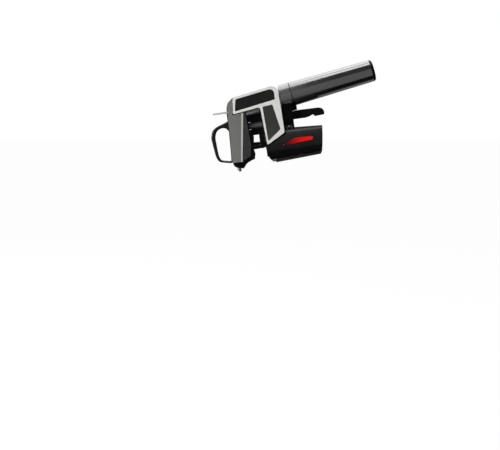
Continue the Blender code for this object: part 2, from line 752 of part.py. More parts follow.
def make_regulator(metal, brass, steel, spring_steel, rubber):
    """The collar by the leg: it holds the regulator, pierces the capsule and carries the cup."""
    face = leg_face_share * side_length + gap
    collar_stop = cup_start - gap
    flange = turned("regulator_collar", ((0, collar_neck_stop), (collar_neck_radius, collar_neck_stop),
                                         (collar_neck_radius, collar_stop),
                                         (line_radius(collar_stop), collar_stop),
                                         (collar_radius, -overrun), (0, -overrun)),
                    on_line(0), line_axis, metal, 48)
    cut(flange, big_box("collar_face", Vector((face, 0, 0)), -along_x))
    join(flange, rod("spigot", on_line(-spigot_depth), line_axis, spigot_depth + overrun, spigot_radius,
                     segments=32))
    shoulder_start = collar_neck_stop - shoulder_bore_depth
    groove_middle = (collar_stop + collar_neck_stop) / 2
    groove_floor = collar_neck_radius - 2 * ring_wire - gap
    cut(flange,
        rod("piston_bore", on_line(-spigot_depth - overrun), line_axis,
            spigot_depth + overrun - piston_bore_stop, piston_radius + gap),
        rod("gas_passage", on_line(-spigot_depth), line_axis, spigot_depth + nose_bore_start,
            needle_radius, segments=16),
        rod("pierce_seat", on_line(pierce_foot - gap), line_axis, nose_bore_start, pierce_radius + gap),
        rod("nose_bore", on_line(nose_bore_start), line_axis, shoulder_start - nose_bore_start + gap,
            capsule_neck_radius + gap),
        rod("shoulder_bore", on_line(shoulder_start), line_axis, shoulder_bore_depth + overrun,
            capsule_radius + gap),
        turned("seal_groove", ((collar_neck_radius + gap, groove_middle + ring_wire + gap),
                               (collar_neck_radius + gap, groove_middle - ring_wire - gap),
                               (groove_floor, groove_middle - ring_wire - gap),
                               (groove_floor, groove_middle + ring_wire + gap)),
               on_line(0), line_axis))
    for name, sign in sides:
        low_y, high_y = sorted((sign * (rail_inner_half - gap), sign * (rail_inner_half + rail_width + gap)))
        top = rail_height_share * side_height + rail_thickness / 2 + gap
        cut(flange, box("collar_slot_" + name, (face - overrun, low_y, top - collar_radius),
                        (carriage_right_share * side_length + overrun, high_y, top)))
    ring("cup_seal", on_line(groove_middle), line_axis, groove_floor + gap / 2 + ring_wire, ring_wire,
         rubber, 32)
    tip = capsule_nose - gap
    waist = nose_bore_start + gap
    turned("piercing_pin", ((0, tip), (pierce_radius / 2, tip - pierce_radius), (pierce_radius / 2, waist),
                            (pierce_radius, waist), (pierce_radius, pierce_foot), (0, pierce_foot)),
           on_line(0), line_axis, steel, 20)
    ring("capsule_seal", on_line(capsule_nose - ring_wire - gap), line_axis,
         capsule_neck_radius - ring_wire, ring_wire, rubber)
    piston_top = -piston_bore_stop - gap
    piston_foot = piston_top - piston_length
    turned("regulator_piston", ((0, piston_top), (piston_radius - piston_wire, piston_top),
                                (piston_radius, piston_top - piston_wire), (piston_radius, piston_foot),
                                (0, piston_foot)), on_line(0), line_axis, brass)
    spring_foot = -spigot_depth
    coil("regulator_spring", on_line(spring_foot), line_axis, piston_foot - gap - spring_foot,
         piston_radius - piston_wire, piston_wire / 2, piston_turns, spring_steel)


def line_radius(distance):
    """The outer radius of the collar and cup at this distance along their axis."""
    return collar_radius + (cup_end_radius - collar_radius) * distance / cup_stop


def make_cup(metal, black, capsule_steel):
    """The cup that screws on the collar, its end cap and the gas capsule in it."""
    bore = capsule_radius + cup_bore_gap
    stop = capsule_nose + capsule_length
    floor = stop + gap
    hollow = cup_end_radius - cup_wall
    neck_room = collar_neck_radius + gap
    neck_stop = collar_neck_stop + gap
    turned("capsule_cup", ((0, floor + cup_wall), (hollow, floor + cup_wall), (hollow, cup_stop),
                           (cup_end_radius, cup_stop), (line_radius(cup_start), cup_start),
                           (neck_room, cup_start), (neck_room, neck_stop), (bore, neck_stop),
                           (bore, floor), (0, floor)), on_line(0), line_axis, metal, 48)
    rim = cup_stop + gap
    end_cap_stop = cup_stop + end_cap_length
    cap_edge = (end_cap_stop - rim) / 2
    plug = hollow - gap
    turned("cup_end_cap", ((0, end_cap_stop), (cup_end_radius - cap_edge, end_cap_stop),
                           (cup_end_radius - gap, end_cap_stop - cap_edge), (cup_end_radius, rim),
                           (plug, rim), (plug, rim - plug_depth), (0, rim - plug_depth)),
           on_line(0), line_axis, black, 48)
    body_start = collar_neck_stop + capsule_neck_radius
    round_end = [(capsule_radius * math.sin(a), stop - capsule_radius * (1 - math.cos(a)))
                 for a in (math.radians(15 * i) for i in range(7))]
    shoulder = [(capsule_radius, body_start), (capsule_radius - gap, body_start - capsule_neck_radius),
                (capsule_neck_radius, collar_neck_stop - shoulder_bore_depth + gap),
                (capsule_neck_radius, capsule_nose), (0, capsule_nose)]
    turned("gas_capsule", round_end + shoulder, on_line(0), line_axis, capsule_steel)


def make_clamp(black, tough_black, rubber, steel, pale_plastic):
    """The carriage on the neck with its needle guide and lip seat, and the rails that it carries."""
    left = saddle_left_share * side_length
    face = carriage_left_share * side_length
    right = carriage_right_share * side_length
    outer = neck_radius + clamp_neck_gap + saddle_wall
    web_outer = rail_inner_half + rail_width
    rail_foot = rail_height_share * side_height - rail_thickness / 2
    frame = rod("clamp_frame", (left, 0, 0), along_x, right - left, outer, black, segments=48)
    cut(frame, rod("neck_room", (left - overrun, 0, 0), along_x, right - left + 2 * overrun,
                   neck_radius + clamp_neck_gap, segments=48))
    keep(frame, box("saddle_part", (left - overrun, -saddle_half, 0), (right + overrun, saddle_half, outer)))
    plate = rod("front_plate", (left, 0, 0), along_x, guide_plate, neck_radius + clamp_neck_gap + 2 * gap,
                segments=48)
    keep(plate, box("plate_part", (left - overrun, -block_half, -outer), (face, block_half, outer)))
    rib = box("rib", (face, -rib_half, neck_radius + clamp_neck_gap + gap), (right, rib_half, plate_top))
    top = box("top_plate", (face, -web_outer, plate_top - plate_thickness), (right, web_outer, plate_top))
    join(frame, plate, rib, top)
    lugs = ((face, lug_inner_shares[0] * side_length), (lug_inner_shares[1] * side_length, right))
    for name, sign in sides:
        hinge = Vector((0, sign * hinge_half, hinge_height))
        for i, (start, stop) in enumerate(lugs):
            low_y, high_y = sorted((sign * (rib_half - gap), sign * (hinge_half + knuckle_radius)))
            join(frame, box(f"lug_{name}_{i}", (start, low_y, hinge_height), (stop, high_y, plate_top - gap)),
                 rod(f"lug_round_{name}_{i}", hinge + along_x * start, along_x, stop - start,
                     knuckle_radius))
        wall_inner, wall_outer = web_outer + gap, web_outer + gap + rail_wall
        low_y, high_y = sorted((sign * rail_inner_half, sign * wall_outer))
        web = box("carriage_web_" + name, (face, low_y, plate_top - gap), (right, high_y, rail_foot - gap))
        low_y, high_y = sorted((sign * wall_inner, sign * wall_outer))
        wall = box("rail_wall_" + name, (face, low_y, rail_foot - overrun),
                   (right, high_y, rail_foot + rail_thickness))
        join(frame, web, wall)
        low_y, high_y = sorted((sign * rail_inner_half, sign * web_outer))
        pin_length = right - face
        cut(frame, rod("hinge_bore_" + name, hinge + along_x * (face - overrun), along_x,
                       pin_length + 2 * overrun, hinge_pin_radius + gap, segments=16))
        rod("hinge_pin_" + name, hinge + along_x * face, along_x, pin_length, hinge_pin_radius, steel,
            segments=16)
        notch_left, notch_right = (share * side_length for share in spring_shares)
        coil("clamp_spring_" + name, hinge + along_x * (notch_left + gap), along_x,
             notch_right - notch_left - 2 * gap, hinge_pin_radius + gap + 2 * clamp_wire, clamp_wire,
             clamp_turns, steel)
        rail = box("guide_rail_" + name, (rail_left_share * side_length, low_y, rail_foot),
                   (right, high_y, rail_foot + rail_thickness), steel)
        for i, share in enumerate(rail_pin_shares, 1):
            foot = Vector((share * side_length, sign * (rail_inner_half + rail_width / 2),
                           rail_foot - rail_pin_reach))
            length = rail_pin_reach + rail_thickness
            way = rod(f"rail_pin_way_{name}_{i}", foot - along_z * gap, along_z, length + overrun,
                      rail_pin_radius + pin_gap, segments=12)
            cut(rail, way)
            cut(frame, way)
            rod(f"rail_pin_{name}_{i}", foot, along_z, length, rail_pin_radius, steel, segments=12)
    cut(frame, rod("guide_way", (left - overrun, 0, 0), along_x, guide_plate + 2 * overrun,
                   guide_radius + gap))
    turned("needle_guide", ((guide_radius, guide_plate), (guide_radius, 0), (guide_mouth, 0),
                            (guide_bore, guide_plate / 2), (guide_bore, guide_plate)),
           Vector((left, 0, 0)), along_x, pale_plastic)
    seat_left = left + guide_plate + gap
    turned("neck_seat", ((neck_radius, -seat_left), (neck_radius, 0), (seat_bore, 0),
                         (seat_bore, -seat_left)), Vector((seat_left, 0, 0)), along_x, rubber, 40)


def oval(name, inward, finish=None):
    """The arms' outer shape, oval at the left and round at the right, moved inwards."""
    left = arm_shares[0][0] * side_length - overrun
    right = arm_shares[5][0] * side_length + overrun
    bm = bmesh.new()
    bmesh.ops.create_cone(bm, cap_ends=True, segments=48, radius1=arm_left_radius - inward,
                          radius2=arm_right_radius - inward, depth=right - left)
    for vert in bm.verts:
        radius = arm_left_radius if vert.co.z < 0 else arm_right_radius
        vert.co.y *= (arm_half_width - inward) / (radius - inward)
    bmesh.ops.triangulate(bm, faces=[face for face in bm.faces if len(face.verts) == 4])
    made = from_bmesh(name, bm, finish)
    made.location = ((left + right) / 2, 0, -arm_drop)
    made.rotation_euler = (0, math.radians(90), 0)
    return made


def make_arms(satin_black, red, rubber):
    """The two arms that close round the neck, each with a red insert and a rubber pad."""
    far_half = arm_half_width + overrun
    lug_left, lug_right = (share * side_length for share in lug_inner_shares)
    notch_left, notch_right = (share * side_length for share in spring_shares)
    slot = outline(accent_shares)
    saddle_room = box("saddle_room", (arm_shares[0][0] * side_length - overrun, -arm_top_half, neck_radius / 2),
                      (arm_shares[5][0] * side_length + overrun, arm_top_half, arm_left_radius))
    for name, sign in sides:
        arm = oval("clamp_arm_" + name, 0, satin_black)
        cut(arm, oval("arm_inside_" + name, arm_wall))
        keep(arm, prism("arm_side_" + name, [arm_outline()], sign * arm_split, sign * far_half))
        cut(arm, saddle_room)
        hinge = Vector((0, sign * hinge_half, hinge_height))
        room = knuckle_radius + knuckle_gap
        start = lug_left + gap
        stop = lug_right - gap
        cut(arm, rod(f"lug_room_{name}_1", hinge + along_x * (carriage_left_share * side_length - gap), along_x,
                     start - carriage_left_share * side_length + gap, room),
            rod(f"lug_room_{name}_2", hinge + along_x * stop, along_x,
                carriage_right_share * side_length + gap - stop, room),
            rod(f"spring_room_{name}", hinge + along_x * notch_left, along_x, notch_right - notch_left, room))
        low_y, high_y = sorted((sign * (arm_top_half + gap), sign * (hinge_half + knuckle_radius)))
        for i, (left, right) in enumerate(((start, notch_left), (notch_right, stop)), 1):
            foot = box(f"knuckle_foot_{name}_{i}", (left, low_y, hinge_height - knuckle_foot),
                       (right, high_y, hinge_height))
            join(arm, foot, rod(f"knuckle_{name}_{i}", hinge + along_x * left, along_x, right - left,
                                knuckle_radius))
        cut(arm, rod(f"pin_room_{name}", hinge + along_x * (start - overrun), along_x,
                     stop - start + 2 * overrun, hinge_pin_radius + gap, segments=16),
            prism("accent_slot_" + name, [slot], sign * arm_half_width / 2, sign * far_half))
        accent = oval("arm_accent_" + name, accent_recess, red)
        cut(accent, oval("accent_inside_" + name, arm_wall - gap))
        keep(accent, prism("accent_side_" + name, [inset(slot, gap)], sign * arm_half_width / 2,
                           sign * far_half))
        pad = oval("grip_pad_" + name, arm_wall + gap, rubber)
        low_y, high_y = sorted((sign * arm_half_width / 2, sign * far_half))
        keep(pad, box("pad_part_" + name, (pad_left_share * side_length, low_y, -pad_half_height),
                      (pad_right_share * side_length, high_y, pad_half_height)))
        cut(pad, rod("pad_room_" + name, along_x * (pad_left_share * side_length - overrun), along_x,
                     (pad_right_share - pad_left_share) * side_length + 2 * overrun, neck_radius + gap,
                     segments=48))


def hang_bodies():
    """An empty on each joint's axis, with the pieces that move with it."""
    body = empty("body_origin", (0, 0, 0))
    trigger = empty("trigger_axis", place(*trigger_pin_shares))
    stem = empty("stem_axis", place(valve_left_share, valve_height_share))
    capsule = empty("capsule_axis", on_line(0))
    piston = empty("piston_axis", on_line(-spigot_depth))
    arms = [empty("arm_axis_" + name, (0, sign * hinge_half, hinge_height)) for name, sign in sides]
    for joint in (trigger, stem, capsule, piston):
        hang(joint, body)
    moving = {"trigger": trigger, "valve_stem": stem, "gas_capsule": capsule, "capsule_cup": capsule,
              "cup_end_cap": capsule, "regulator_piston": piston}
    for (name, _), joint in zip(sides, arms):
        for piece in ("clamp_arm_", "arm_accent_", "grip_pad_"):
            moving[piece + name] = joint
    fixed = ("clamp_frame", "needle_guide", "neck_seat", "guide_rail", "rail_pin", "hinge_pin",
             "clamp_spring")
    for piece in list(parts.objects):
        if piece.type == "EMPTY" or piece.name.startswith(fixed):
            continue
        hang(piece, moving.get(piece.name, body))


for old in list(bpy.data.objects):
    bpy.data.objects.remove(old)
parts = bpy.data.collections.new("wine_preservation_dispenser")
cutters = bpy.data.collections.new("cutters")
bpy.context.scene.collection.children.link(parts)
bpy.context.scene.collection.children.link(cutters)

black_plastic = material("black_plastic", (0.012, 0.012, 0.013), 0.38, 0.0)
satin_black = material("satin_black", (0.020, 0.020, 0.022), 0.30, 0.0)
grey_metal = material("grey_metal", (0.155, 0.160, 0.143), 0.42, 0.9)
dark_metal = material("dark_metal", (0.075, 0.077, 0.075), 0.30, 0.9)
bright_metal = material("bright_metal", (0.75, 0.75, 0.71), 0.30, 1.0)
inlay_black = material("inlay_black", (0.014, 0.014, 0.013), 0.65, 0.0)
panel_grey = material("panel_grey", (0.045, 0.045, 0.041), 0.55, 0.0)
steel = material("steel", (0.62, 0.62, 0.60), 0.25, 1.0)
spring_steel = material("spring_steel", (0.50, 0.50, 0.50), 0.35, 1.0)
brass = material("brass", (0.60, 0.44, 0.20), 0.30, 1.0)
red_gloss = material("red_gloss", (0.62, 0.002, 0.004), 0.18, 0.0)
rubber = material("rubber", (0.025, 0.025, 0.026), 0.80, 0.0)
pale_plastic = material("pale_plastic", (0.55, 0.55, 0.52), 0.45, 0.0)

make_housing(black_plastic, steel)
make_covers(grey_metal)
make_trim(bright_metal, inlay_black, panel_grey)
make_nose(black_plastic, steel)
make_loop(black_plastic)
make_needle_set(black_plastic, steel, rubber)
make_gas_line(dark_metal, brass, steel, spring_steel, rubber)
make_trigger(black_plastic, steel)
make_regulator(dark_metal, brass, steel, spring_steel, rubber)
make_cup(dark_metal, black_plastic, steel)
make_clamp(black_plastic, satin_black, rubber, steel, pale_plastic)
make_arms(satin_black, red_gloss, rubber)
hang_bodies()
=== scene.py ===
"""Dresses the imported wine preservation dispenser: a body on rails with its needle, finger ring, spout and
trigger, a screwed-on gas capsule cup, and a clamp with two sprung arms."""

import math

import bmesh
import bpy
from mathutils import Matrix, Vector


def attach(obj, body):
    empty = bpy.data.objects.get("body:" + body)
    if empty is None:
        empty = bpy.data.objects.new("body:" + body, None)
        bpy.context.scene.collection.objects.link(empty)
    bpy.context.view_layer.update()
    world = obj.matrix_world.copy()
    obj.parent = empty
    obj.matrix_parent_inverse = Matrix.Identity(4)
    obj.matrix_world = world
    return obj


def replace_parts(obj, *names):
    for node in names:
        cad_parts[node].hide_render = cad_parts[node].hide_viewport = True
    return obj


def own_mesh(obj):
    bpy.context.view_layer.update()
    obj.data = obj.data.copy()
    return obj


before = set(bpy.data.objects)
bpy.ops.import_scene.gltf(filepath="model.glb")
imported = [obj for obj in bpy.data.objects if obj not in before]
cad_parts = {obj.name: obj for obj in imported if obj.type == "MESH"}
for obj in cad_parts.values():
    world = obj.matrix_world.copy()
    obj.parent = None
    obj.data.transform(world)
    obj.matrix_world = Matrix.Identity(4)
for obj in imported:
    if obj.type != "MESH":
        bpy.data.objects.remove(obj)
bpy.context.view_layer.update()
millimetre = 0.001


# Housing halves: glass-filled black nylon, moulded in two shells that screw together on the middle
# plane. The mould's spark-eroded skin leaves a fine matt grain, and its edges are lightly rounded.
class Field:
    """A value that varies over a surface. Sums of fields add their Math nodes."""

    def __init__(self, tree, socket):
        self.tree = tree
        self.socket = socket

    def node(self, kind, settings=None, inputs=None, output=0):
        """Any other node, with its settings, its inputs by name or place, and the output that is used."""
        made = self.tree.nodes.new("ShaderNode" + kind)
        for name, value in (settings or {}).items():
            setattr(made, name, value)
        for name, value in (inputs or {}).items():
            if isinstance(value, Field):
                self.tree.links.new(value.socket, made.inputs[name])
            else:
                made.inputs[name].default_value = value
        return Field(self.tree, made.outputs[output])

    def maths(self, operation, *values):
        """A Math node of these values, each a field or a plain number."""
        return self.node("Math", {"operation": operation}, dict(enumerate(values)))

    def __add__(self, other):
        return self.maths("ADD", self, other)

    def __radd__(self, other):
        return self.maths("ADD", other, self)

    def __sub__(self, other):
        return self.maths("SUBTRACT", self, other)

    def __rsub__(self, other):
        return self.maths("SUBTRACT", other, self)

    def __mul__(self, other):
        return self.maths("MULTIPLY", self, other)

    def __rmul__(self, other):
        return self.maths("MULTIPLY", other, self)

    def step(self, low, high):
        """0 up to low and 1 from high on, smoothly between."""
        return self.node("MapRange", {"interpolation_type": "SMOOTHSTEP"},
                         {"Value": self, "From Min": low, "From Max": high})

    def noise(self, size, detail=2.0, stretch=(1, 1, 1)):
        """Cloudy noise from 0 to 1, its patches this large."""
        placed = self.node("Mapping", {}, {"Vector": self, "Scale": stretch})
        return self.node("TexNoise", {}, {"Vector": placed, "Scale": 1 / size, "Detail": detail})

    def along(self, direction, start):
        """The distance past a point along a direction."""
        reach = Vector(direction).normalized()
        measured = self.node("VectorMath", {"operation": "DOT_PRODUCT"}, {0: self, 1: reach}, 1)
        return measured - Vector(start).dot(reach)

    def blend(self, first, second):
        """The first colour where this field is 0, the second where it is 1."""
        colours = {0: self, 6: colour_of(first), 7: colour_of(second)}
        return self.node("Mix", {"data_type": "RGBA"}, colours, 2)


def colour_of(shade):
    """A colour as a Mix node takes it: a field stays a field, and plain values get an alpha."""
    return shade if isinstance(shade, Field) else (*shade, 1)


def new_finish(name, colour, roughness, metallic=0.0, reflectance=0.5, coat=0.0, coat_roughness=0.1):
    """A material with plain values, and the place on its piece that patterns start from."""
    made = bpy.data.materials.new(name)
    made.use_nodes = True
    tree = made.node_tree
    shader = tree.nodes["Principled BSDF"]
    shader.inputs["Base Color"].default_value = (*colour, 1)
    shader.inputs["Roughness"].default_value = roughness
    shader.inputs["Metallic"].default_value = metallic
    shader.inputs["Specular IOR Level"].default_value = reflectance
    shader.inputs["Coat Weight"].default_value = coat
    shader.inputs["Coat Roughness"].default_value = coat_roughness
    place = Field(tree, tree.nodes.new("ShaderNodeTexCoord").outputs["Object"])
    return made, shader, place


def vary(shader, socket, field):
    """Lets this field set one of the shader's values."""
    field.tree.links.new(field.socket, shader.inputs[socket])


def emboss(shader, height, depth):
    """Raises the surface by this height field, whose full range is this deep."""
    bump = height.node("Bump", {}, {"Height": height, "Distance": depth, "Strength": 1.0})
    vary(shader, "Normal", bump)


def moulded(name, shade, lighter, grain, roughness, reflectance, marking=None):
    """Moulded plastic with a spark-eroded grain and soft gloss patches. A marking is a function of the
    place and the colour, and tints part of the plastic."""
    patch_size = 9 * millimetre
    grain_depth = 0.035 * millimetre
    made, shader, place = new_finish(name, shade, roughness, reflectance=reflectance)
    patches = place.noise(patch_size, 3)
    pits = place.noise(grain, 3)
    colour = (patches * 0.6 + pits * 0.4).step(0.3, 0.75).blend(shade, lighter)
    vary(shader, "Base Color", marking(place, colour) if marking else colour)
    vary(shader, "Roughness", patches * 0.14 + pits * 0.10 + (roughness - 0.12))
    emboss(shader, pits, grain_depth)
    return made


def new_piece(name, bm, body, material, crease=30):
    """A finished piece from its bmesh, riding on a body. Edges past the crease, in degrees, stay hard."""
    mesh = bpy.data.meshes.new(name)
    bm.to_mesh(mesh)
    bm.free()
    mesh.shade_smooth()
    mesh.set_sharp_from_angle(angle=math.radians(crease))
    mesh.materials.append(material)
    made = bpy.data.objects.new(name, mesh)
    bpy.context.scene.collection.objects.link(made)
    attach(made, body)
    weigh = made.modifiers.new("flats", "WEIGHTED_NORMAL")
    weigh.keep_sharp = True
    return made


weld_distance = 0.002 * millimetre
flat_angle = math.radians(0.6)


def merged(node):
    """A bmesh of a CAD node with its loose triangles joined into whole faces."""
    bm = bmesh.new()
    bm.from_mesh(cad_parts[node].data)
    bmesh.ops.remove_doubles(bm, verts=bm.verts, dist=weld_distance)
    bmesh.ops.dissolve_limit(bm, angle_limit=flat_angle, verts=bm.verts, edges=bm.edges)
    return bm


def round_edges(bm, width, segments=3, chosen=None):
    """Rounds the sharp edges, or the chosen ones of them, as far as their neighbours leave room."""
    sharp_angle = math.radians(32)
    edges = [edge for edge in bm.edges if len(edge.link_faces) == 2
             and edge.calc_face_angle() > sharp_angle and (chosen is None or chosen(edge))]
    bmesh.ops.bevel(bm, geom=edges, offset=width, offset_type="OFFSET", segments=segments, profile=0.5,
                    affect="EDGES", clamp_overlap=True, material=-1, harden_normals=False)
    return bm


def edge_middle(edge):
    return (edge.verts[0].co + edge.verts[1].co) / 2


def refined(node, name, body, material, width, segments=3, first=None, first_width=0):
    """The CAD node's shape with its edges rounded, in place of it. Edges chosen first get their own width."""
    bm = merged(node)
    if first:
        round_edges(bm, first_width, segments=6, chosen=first)
    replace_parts(new_piece(name, round_edges(bm, width, segments), body, material), node)


def dress(material, *nodes):
    """Gives this finish to CAD nodes that keep their own shape."""
    for node in nodes:
        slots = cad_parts[node].data.materials
        slots.clear()
        slots.append(material)


black_nylon = (0.0012, 0.0012, 0.0013)
black_bloom = (0.0030, 0.0030, 0.0032)
black_gloss = 0.14
nylon_grain = 0.35 * millimetre
nylon_roughness = 0.32
moulded_black = moulded("moulded_black", black_nylon, black_bloom, nylon_grain, nylon_roughness, black_gloss)
bar_lip_low, bar_lip_high = 36 * millimetre, 42 * millimetre
bar_lip_left, bar_lip_right = -25 * millimetre, -9 * millimetre
bar_lip_side = 14 * millimetre
bar_lip_round = 2.2 * millimetre


def on_bar_lip(edge):
    """The lower outer edge of the bar's underside, between the column and the leg."""
    middle = edge_middle(edge)
    outside = all(abs(vert.co.y) > bar_lip_side for vert in edge.verts)
    return outside and bar_lip_low < middle.z < bar_lip_high and bar_lip_left < middle.x < bar_lip_right


ledge_slope = (-0.085, 0, 1)
ledge_foot = Vector((-26.5, 0, 36.8)) * millimetre
ledge_left = Vector((-27.4, 0, 0)) * millimetre
ledge_right = Vector((-9.6, 0, 0)) * millimetre
ledge_height = 5.6 * millimetre
crest_height = 2.6 * millimetre
crest_fade = 1.0 * millimetre
ledge_grey = (0.065, 0.065, 0.068)
ledge_highlight_grey = (0.150, 0.150, 0.146)


def ledge(place, colour):
    """The bar's underside is painted a paler grey, with a painted highlight along its middle."""
    height = place.along(ledge_slope, ledge_foot)
    soft = 0.5 * millimetre
    band = height.step(0, soft) - height.step(ledge_height, ledge_height + soft)
    past_left = place.along((1, 0, 0), ledge_left).step(0, soft)
    before_right = place.along((-1, 0, 0), ledge_right).step(0, soft)
    rise = height.step(crest_height - crest_fade, crest_height)
    fall = height.step(crest_height, crest_height + crest_fade)
    return (band * past_left * before_right).blend(colour, (rise - fall).blend(ledge_grey, ledge_highlight_grey))


housing_black = moulded("housing_black", black_nylon, black_bloom, nylon_grain, nylon_roughness, black_gloss,
                        marking=ledge)
for side in ("front", "rear"):
    refined("housing_" + side, "shell_" + side, "body", housing_black, 0.25 * millimetre,
            first=on_bar_lip, first_width=bar_lip_round)

# Column covers: two pressed aluminium plates over the column, a flat face and a slanted one that meet on
# a line. A painted highlight runs along that line, with a dark band beside it, and painted shade darkens
# the slanted face. They are anodised grey over a fine blast, and snap over the housing.
cover_grey = (0.142, 0.144, 0.136)
cover_pale = (0.182, 0.185, 0.174)
highlight_bright = (0.46, 0.46, 0.445)
shaded_face_grey = (0.085, 0.082, 0.085)
cover_dark_line = (0.012, 0.012, 0.012)
line_top = Vector((-31.7, 0, 36.6)) * millimetre
line_bottom = Vector((-39.3, 0, -16.0)) * millimetre
line_width = 1.25 * millimetre
dark_band_width = 2.1 * millimetre
edge_top = Vector((-48.8, 0, 35.0)) * millimetre
edge_bottom = Vector((-50.7, 0, -15.0)) * millimetre
anodised, shader, place = new_finish("anodised_grey", cover_grey, 0.42, metallic=0.35)
blast = place.noise(0.22 * millimetre, 2)
cloud = place.noise(14 * millimetre, 2)
slope = (line_top - line_bottom).normalized()
off_line = place.along((slope.z, 0, -slope.x), line_top)
on_highlight = 1 - off_line.maths("ABSOLUTE", off_line).step(line_width * 0.7, line_width)
on_dark_band = off_line.step(line_width * 0.8, line_width) - off_line.step(dark_band_width * 0.85, dark_band_width)
on_shaded_face = off_line.step(dark_band_width * 0.85, dark_band_width)
edge_slope = edge_top - edge_bottom
on_edge = place.along((-edge_slope.z, 0, edge_slope.x), edge_top).step(0, 0.4 * millimetre)
grey = (blast * 0.5 + cloud * 0.5).step(0.25, 0.8).blend(cover_grey, cover_pale)
# Painted shade over the slanted face, a dark band at its edge, and a painted highlight along the line where
# the faces meet.
grey = on_dark_band.blend(on_shaded_face.blend(grey, shaded_face_grey), cover_dark_line)
vary(shader, "Base Color", on_edge.blend(on_highlight.blend(grey, highlight_bright), cover_dark_line))
vary(shader, "Roughness", blast * 0.12 + 0.34 - on_highlight * 0.15)
emboss(shader, blast, 0.012 * millimetre)
for side in ("front", "rear"):
    refined("column_cover_" + side, "cover_" + side, "body", anodised, 0.35 * millimetre)

# Side trim: a die-cast plate in satin silver on each side, with a soft-touch pad set in its bar and a
# bare dark panel set in its leg.
silver_dull = (0.61, 0.61, 0.59)
silver_bright = (0.68, 0.68, 0.66)
satin_silver, shader, place = new_finish("satin_silver", (0.58, 0.58, 0.56), 0.34, metallic=0.25)
brush = place.noise(0.25 * millimetre, 3, (0.06, 1, 1))
vary(shader, "Base Color", brush.step(0.2, 0.8).blend(silver_dull, silver_bright))
vary(shader, "Roughness", brush * 0.14 + 0.30)
emboss(shader, brush, 0.006 * millimetre)
soft_touch = moulded("soft_touch", (0.0045, 0.0045, 0.0044), (0.0085, 0.0085, 0.0082),
                     0.5 * millimetre, 0.60, 0.16)
panel_top = Vector((0, 0, 33)) * millimetre
panel_drop = 36 * millimetre
panel_dark = (0.018, 0.018, 0.0175)
panel_pale = (0.036, 0.036, 0.034)
panel_grey, shader, place = new_finish("panel_grey", (0.024, 0.024, 0.023), 0.5, reflectance=0.3)
lines = place.noise(0.3 * millimetre, 2, (1, 1, 0.05))
towards_foot = place.along((-0.1, 0, -1), panel_top).step(0, panel_drop)
vary(shader, "Base Color", (lines * 0.4 + towards_foot * 0.6).blend(panel_dark, panel_pale))
vary(shader, "Roughness", lines * 0.15 + 0.42)
for side in ("front", "rear"):
    refined("bezel_" + side, "trim_" + side, "body", satin_silver, 0.75 * millimetre, 5)
    refined("grip_inlay_" + side, "bar_pad_" + side, "body", soft_touch, 0.3 * millimetre)
    refined("side_panel_" + side, "leg_panel_" + side, "body", panel_grey, 0.2 * millimetre)


# Nose: a moulded black foot that closes the column, round the drawn steel spout, whose mouth is rolled.
# The four screws that hold the housing's halves together are of the same steel.
def turned(name, profile, start, axis, body, material, round_width, steps=96):
    """A piece turned on a lathe: a profile of (radius, distance) pairs in millimetres, spun on its axis."""
    bm = bmesh.new()
    corners = [bm.verts.new((radius * millimetre, 0, distance * millimetre)) for radius, distance in profile]
    hollow = min(radius for radius, _ in profile) > 0
    pairs = list(zip(corners, corners[1:])) + ([(corners[-1], corners[0])] if hollow else [])
    edges = [bm.edges.new(pair) for pair in pairs]
    bmesh.ops.spin(bm, geom=corners + edges, cent=(0, 0, 0), axis=(0, 0, 1), dvec=(0, 0, 0),
                   angle=math.tau, steps=steps, use_merge=True, use_duplicate=False)
    bmesh.ops.remove_doubles(bm, verts=bm.verts, dist=weld_distance)
    bmesh.ops.recalc_face_normals(bm, faces=bm.faces)
    round_edges(bm, round_width)
    turn = Vector(axis).to_track_quat("Z", "Y").to_matrix().to_4x4()
    bmesh.ops.transform(bm, matrix=Matrix.Translation(start) @ turn, verts=bm.verts)
    return new_piece(name, bm, body, material)


refined("nose_cap", "nose", "body", moulded_black, 0.9 * millimetre, 4)
steel_dull = (0.55, 0.55, 0.53)
steel_bright = (0.68, 0.68, 0.66)
bright_steel, shader, place = new_finish("bright_steel", (0.62, 0.62, 0.60), 0.22, metallic=1.0)
drawn = place.noise(0.12 * millimetre, 2, (1, 1, 0.08))
vary(shader, "Roughness", drawn * 0.16 + 0.14)
vary(shader, "Base Color", drawn.step(0.2, 0.8).blend(steel_dull, steel_bright))
spout_foot = Vector((-44.0, 0, -28.5)) * millimetre
spout_profile = ((2.6, 26.5), (2.6, 1.6), (2.45, 0.9), (2.6, 0.5), (2.6, 0.0), (1.9, 0.0), (1.9, 26.5))
spout = turned("spout", spout_profile, spout_foot, (0, 0, 1), "body", bright_steel,
               0.1 * millimetre, steps=64)
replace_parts(spout, "spout_tube")
dress(bright_steel, "housing_screw_1", "housing_screw_2", "housing_screw_3", "housing_screw_4")

